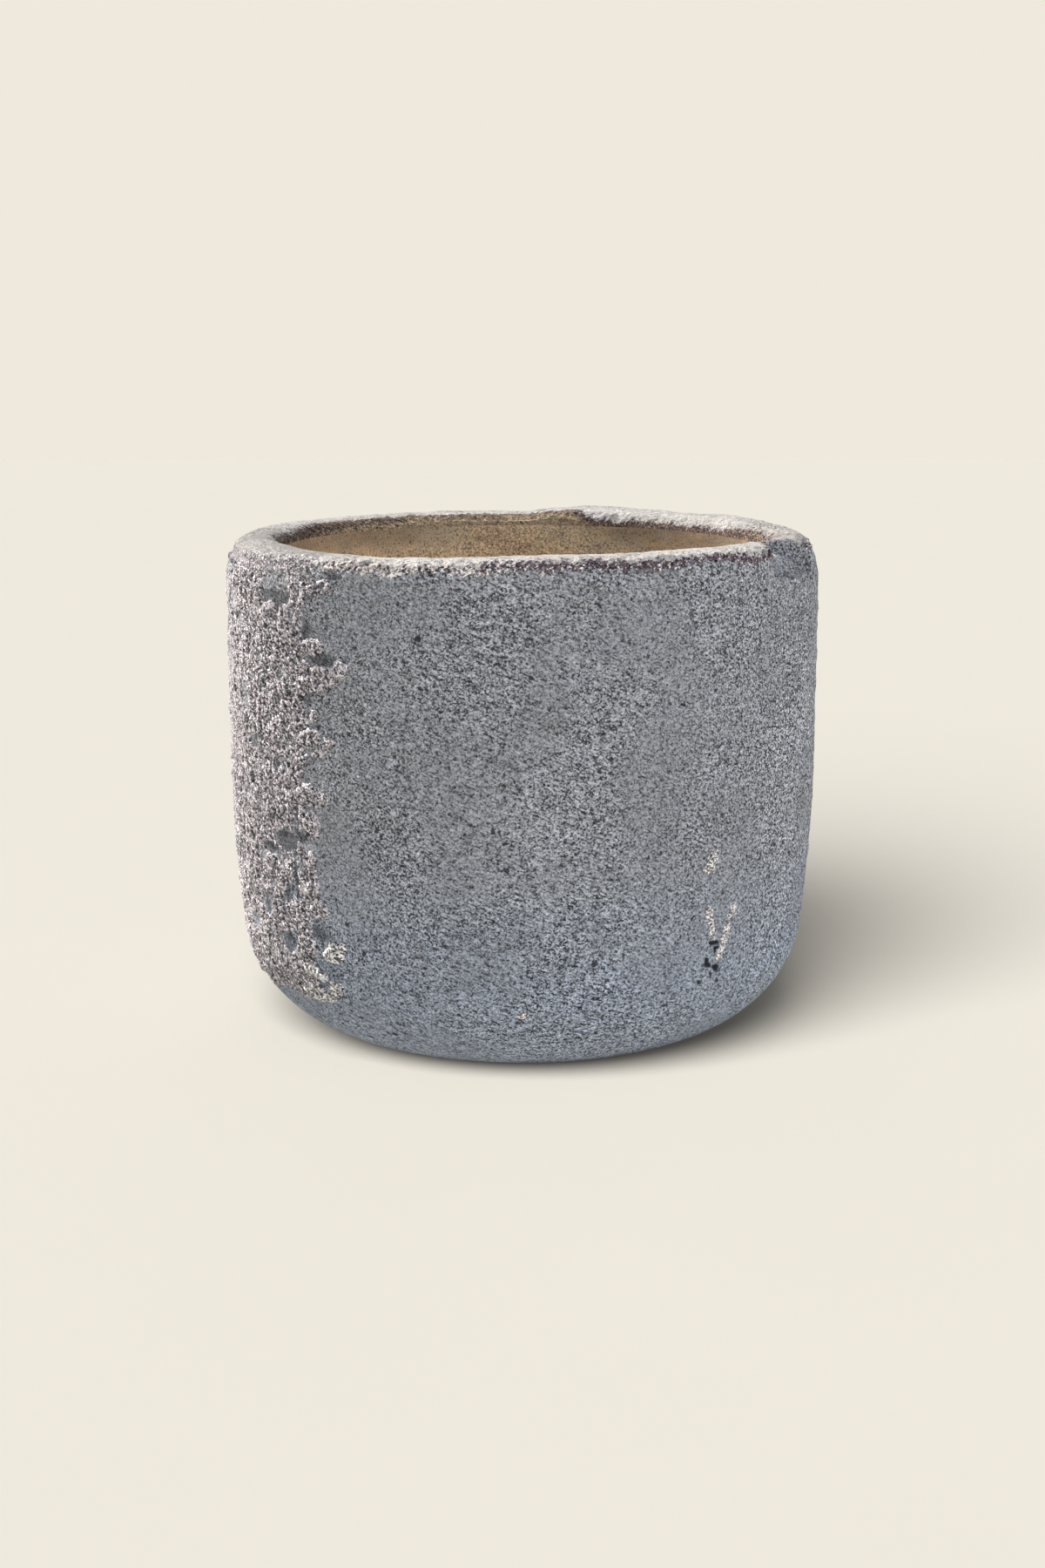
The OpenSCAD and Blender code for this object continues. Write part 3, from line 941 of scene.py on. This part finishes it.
# The pale crest, partly painted sunlight, goes right over the inner edge at the back right. At the
# back and left it stops short of it, and all round its lower edge outside wanders.
for v, depth in zip(rim.data.vertices, depths):
    if depth > 0:
        group.add([v.index], depth / hollow_deep, "REPLACE")
    turn, r = turn_of(v.co), v.co.xy.length
    tint[v.index].value += 0.7 * share(turn, -36, -42) * share(turn, -140, -110)
    plain[v.index].value = share(depth, 0.0008, 0.0030)
    full = 0.009 * share(turn, 106, 122) * share(turn, 170, 162) * share(r, 0.245, 0.236)
    thin = 0.008 * (share(turn, 158, 168) + share(turn, -106, -130)) * share(r, 0.2395, 0.2355)
    wander = 0.0036 * noise.noise(v.co * 27) * share(r, 0.255, 0.268)
    level[v.index].value = v.co.z + full - thin + wander
settle(rim)
roughen(rim, "crest", 0.0012, grit("CLOUDS", 0.03), middle=0.8, along="Z")
roughen(rim, "crest", 0.0010, grit("CLOUDS", 0.006, noise_depth=1))
roughen(rim, "grit", 0.0044, grit("CLOUDS", 0.0060, noise_depth=1, contrast=1.6), middle=0.66)
roughen(rim, "grit", 0.0040, grit("CLOUDS", 0.0036), middle=0.6)
roughen(rim, "grit_inside", 0.0030, grit("CLOUDS", 0.005, noise_depth=1))
work(rim, "DISPLACE", vertex_group="hollow", strength=-hollow_deep, mid_level=0, direction="Z")
stand_out(rim)
# Painted light on the crest: lighter where it is tilted to the front, and less so at the sides.
painted_crest_light = rim.data.attributes.new("painted_crest_light", "FLOAT", "POINT").data
for v in rim.data.vertices:
    turn = turn_of(v.co)
    front = 0.36 * share(-v.normal.y, 0.05, 0.5) + 0.20 * share(abs(turn - 5), 50, 35)
    sides = 0.14 * share(abs(turn - 93), 32, 14) + 0.26 * share(abs(turn + 70), 45, 25)
    painted_crest_light[v.index].value = front - sides

# The hidden side sits on the lining and the coat, and is cut out round the hoop under the rim.
rim_foot, hoop_seat_r, hoop_seat_z = joint_z + cast_gap, 0.2562, 0.4345
close_behind(rim, lambda middle: middle.xy.length < 0.24, [
    (shell_r + 0.0001, shell_top + cast_gap), (shell_r + 0.0001, hoop_seat_z),
    (hoop_seat_r, hoop_seat_z), (hoop_seat_r, rim_foot),
])
dress(rim, RimConcrete("pale rim concrete").mixed())
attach(rim, "root")
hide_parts("rim_coping")

# The studio: a pale floor that runs into a backdrop of the same colour, a warm key lamp from
# the left behind the pot, a wide cool sky from the front, a soft window on the left that lights
# the floor, and the room's even light.

scene = bpy.context.scene
scene.view_settings.view_transform = "Standard"
backdrop = (0.863, 0.815, 0.723, 1)


def seen(nodes):
    """1 where the camera looks straight on, or by way of a mirror or a glass."""
    rays = ("Is Camera Ray", "Is Glossy Ray", "Is Transmission Ray")
    return sum(nodes.add("LightPath", out=ray) for ray in rays)


bpy.ops.object.select_all(action="DESELECT")
bpy.ops.mesh.primitive_plane_add(size=16)
floor = bpy.context.object
floor.name = "floor"
floor_finish = Finish("pale floor", 1.0, 0.0)
speckle = floor_finish.cloud(3, 2).between(-0.3, 0.3)
floor_dark, floor_light = (0.285, 0.269, 0.238, 1), (0.287, 0.271, 0.240, 1)
floor_colour = floor_finish.blend(speckle, floor_dark, floor_light)
floor_finish.feed(floor_finish.shader, {"Base Color": floor_colour})
floor_glow = 0.06
glow = floor_finish.add("Emission", None, {"Color": backdrop})
lit = Level(floor_finish, floor_finish.shader.outputs[0])
shown = floor_finish.add("MixShader", None, {0: seen(floor_finish) * floor_glow, 1: lit, 2: glow})
floor_finish.feed(floor_finish.tree.nodes["Material Output"], {"Surface": shown})
dress(floor, floor_finish.material)
floor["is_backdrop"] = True


def lamp(name, turn, rise, strength, width, colour):
    """A distant lamp, placed by its turn from the front and its rise, both in degrees."""
    light = bpy.data.lights.new(name, "SUN")
    light.energy, light.angle, light.color = strength, math.radians(width), colour
    holder = bpy.data.objects.new(name, light)
    scene.collection.objects.link(holder)
    turn, rise = math.radians(turn), math.radians(rise)
    level = math.cos(rise)
    towards = Vector((math.sin(turn) * level, -math.cos(turn) * level, math.sin(rise)))
    holder.rotation_euler = towards.to_track_quat("Z", "Y").to_euler()
    return holder


key = lamp("key", -128, 38, 7.3, 1.2, (1.0, 0.95, 0.89))
sky = lamp("sky", 35, 56, 1.7, 110, (0.95, 0.99, 1.06))
window = lamp("window", -24, 39, 13.0, 48, (1.0, 1.0, 1.0))
# The window lights the floor alone, and the key and the sky light the pot alone.
for holder, state in ((key, "EXCLUDE"), (sky, "EXCLUDE"), (window, "INCLUDE")):
    group = bpy.data.collections.new(holder.name + " floor")
    group.objects.link(floor)
    holder.light_linking.receiver_collection = group
    group.collection_objects[0].light_linking.link_state = state

room = bpy.data.worlds.new("room")
scene.world = room
room.use_nodes = True
air = Nodes(room.node_tree)
room_light = (0.42, 0.43, 0.45, 1)
air_colour = air.blend(seen(air), room_light, backdrop)
air.feed(room.node_tree.nodes["Background"], {"Color": air_colour})

eye = bpy.data.objects.new("camera", bpy.data.cameras.new("camera"))
scene.collection.objects.link(eye)
eye_distance, eye_height, aim_height, lens_mm = 2.24, 0.681, 0.2219, 54.55
eye.data.lens = lens_mm
eye.location = (0, -eye_distance, eye_height)
aim = Vector((0, 0, aim_height))
eye.rotation_euler = (aim - eye.location).to_track_quat("-Z", "Y").to_euler()
scene.camera = eye

boxes = {"cad": cad_box, "visual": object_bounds()}
{name: [list(corner) for corner in box] for name, box in boxes.items()}
